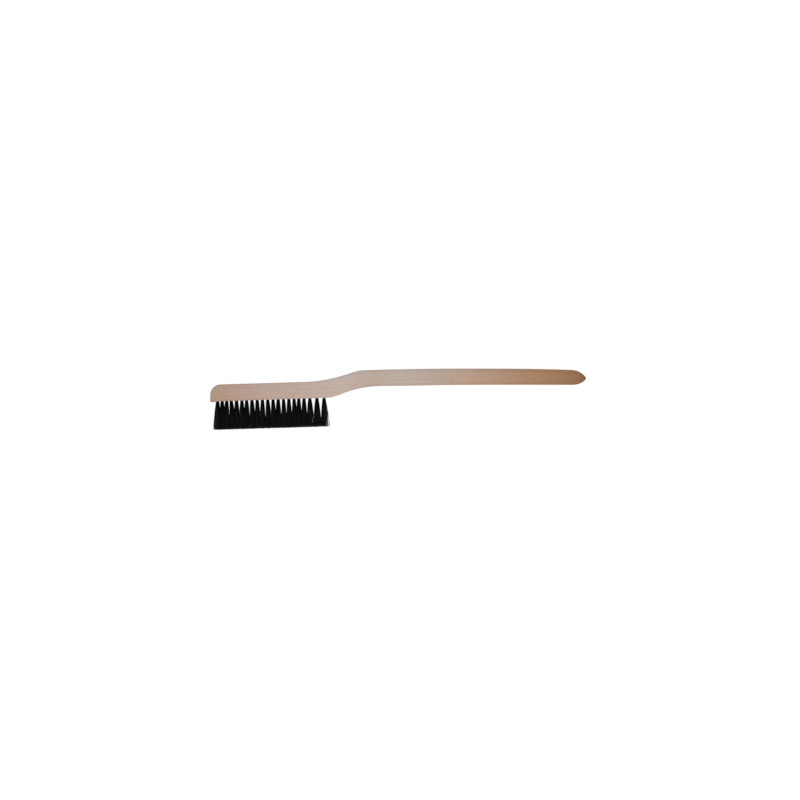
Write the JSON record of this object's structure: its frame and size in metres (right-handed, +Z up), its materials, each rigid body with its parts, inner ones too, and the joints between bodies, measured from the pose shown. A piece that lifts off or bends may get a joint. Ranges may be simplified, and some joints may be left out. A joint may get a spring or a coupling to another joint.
{
  "type": "wire brush",
  "caption": "Long-handled hand wire brush: slim beech block and offset handle in one piece, with black steel wire tufts set in two rows of drilled holes.",
  "frame": {"origin": "under the middle of the brush's bounding box, on the flat side that it lies on", "axes": "+X from the block's nose to the handle's end, +Y from the wire tips to the brush's back, +Z up through the brush's width"},
  "size_m": [0.351, 0.0514, 0.016],
  "materials": {
    "beech": "sanded beech, thinly lacquered, satin",
    "steel_wire": "black oil-tempered steel wire"
  },
  "bodies": {
    "root": {"handle": "beech", "lower_row_tuft_01": "steel_wire", "lower_row_tuft_02": "steel_wire", "lower_row_tuft_03": "steel_wire", "lower_row_tuft_04": "steel_wire", "lower_row_tuft_05": "steel_wire", "lower_row_tuft_06": "steel_wire", "lower_row_tuft_07": "steel_wire", "lower_row_tuft_08": "steel_wire", "lower_row_tuft_09": "steel_wire", "lower_row_tuft_10": "steel_wire", "lower_row_tuft_11": "steel_wire", "lower_row_tuft_12": "steel_wire", "lower_row_tuft_13": "steel_wire", "lower_row_tuft_14": "steel_wire", "lower_row_tuft_15": "steel_wire", "lower_row_tuft_16": "steel_wire", "lower_row_tuft_17": "steel_wire", "lower_row_tuft_18": "steel_wire", "lower_row_tuft_19": "steel_wire", "lower_row_tuft_20": "steel_wire", "lower_row_tuft_21": "steel_wire", "upper_row_tuft_01": "steel_wire", "upper_row_tuft_02": "steel_wire", "upper_row_tuft_03": "steel_wire", "upper_row_tuft_04": "steel_wire", "upper_row_tuft_05": "steel_wire", "upper_row_tuft_06": "steel_wire", "upper_row_tuft_07": "steel_wire", "upper_row_tuft_08": "steel_wire", "upper_row_tuft_09": "steel_wire", "upper_row_tuft_10": "steel_wire", "upper_row_tuft_11": "steel_wire", "upper_row_tuft_12": "steel_wire", "upper_row_tuft_13": "steel_wire", "upper_row_tuft_14": "steel_wire", "upper_row_tuft_15": "steel_wire", "upper_row_tuft_16": "steel_wire", "upper_row_tuft_17": "steel_wire", "upper_row_tuft_18": "steel_wire", "upper_row_tuft_19": "steel_wire", "upper_row_tuft_20": "steel_wire", "upper_row_tuft_21": "steel_wire"}
  },
  "joints": []
}
